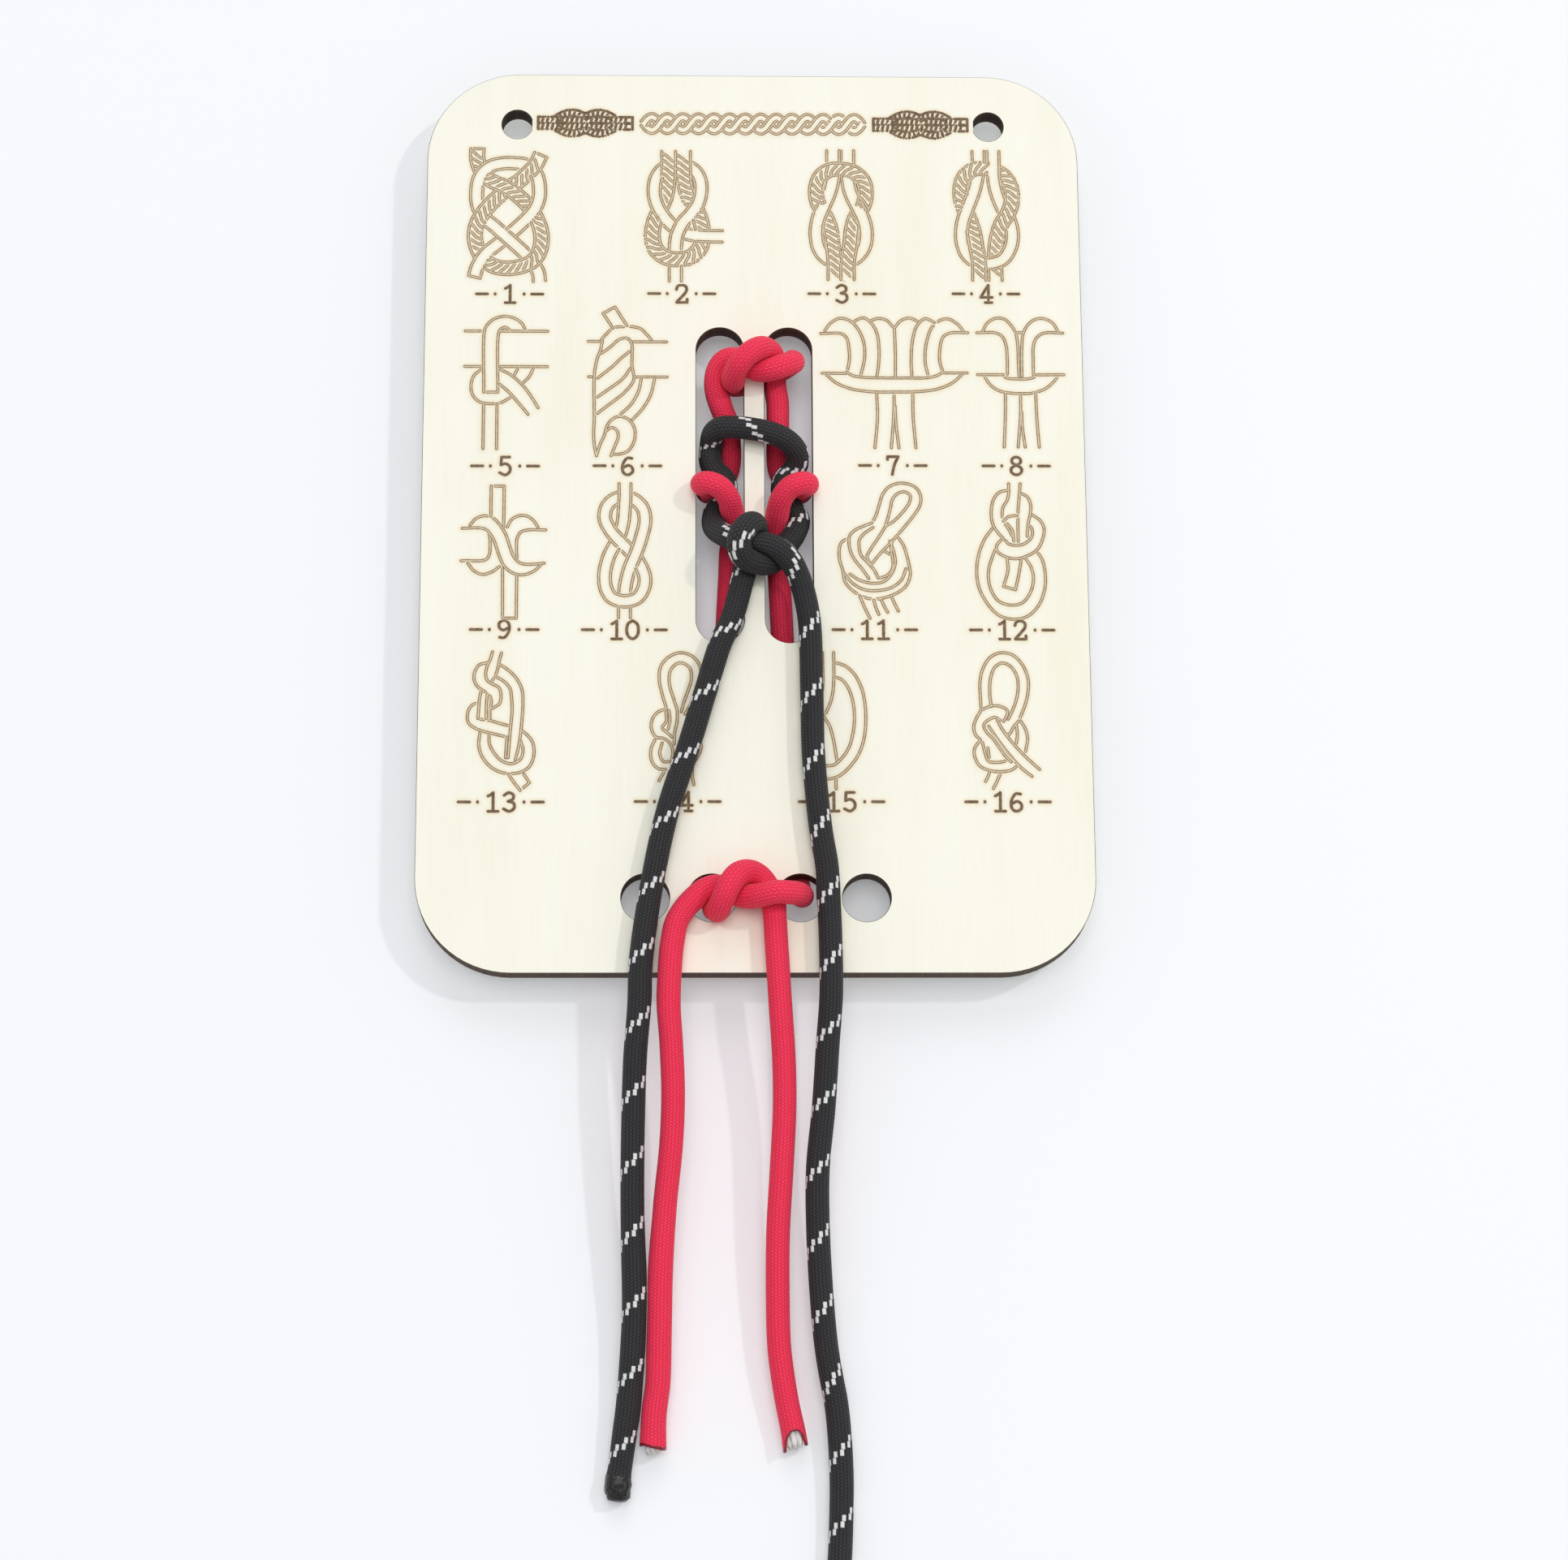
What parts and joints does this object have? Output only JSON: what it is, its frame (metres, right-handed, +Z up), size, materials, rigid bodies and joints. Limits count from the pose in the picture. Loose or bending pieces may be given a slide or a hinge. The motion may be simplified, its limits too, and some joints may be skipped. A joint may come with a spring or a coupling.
{
  "type": "knot tying board",
  "caption": "Flat laser-cut plywood board with long slots and a row of holes, with a red and a black practice cord knotted to it and their tails lying free.",
  "frame": {"origin": "middle of the board seen from above, at the height of the surface that the strands behind the board rest on", "axes": "+Z up, away from the surface and out of the engraved face; +Y towards the board's top edge with the hanging holes; +X to the right of someone reading the board"},
  "size_m": [0.113, 0.315, 0.018],
  "materials": {
    "face_veneer": "bare pale veneer, laser engraved, matt",
    "core_veneer": "cut edges charred dark brown by the laser",
    "back_veneer": "bare pale veneer, matt",
    "red_cord": "fine braided polyester sheath",
    "black_cord": "fine braided polyester sheath with white tracer threads",
    "cord_core": "white fibre core"
  },
  "bodies": {
    "root": {"front_veneer": "face_veneer", "core_veneer": "core_veneer", "back_veneer": "back_veneer", "red_cord_knotted": "red_cord", "red_tail_left": "red_cord", "red_tail_right": "red_cord", "red_core_left": "cord_core", "red_core_right": "cord_core", "black_cord_knotted": "black_cord", "black_tail_left": "black_cord", "black_tail_right": "black_cord"}
  },
  "joints": []
}
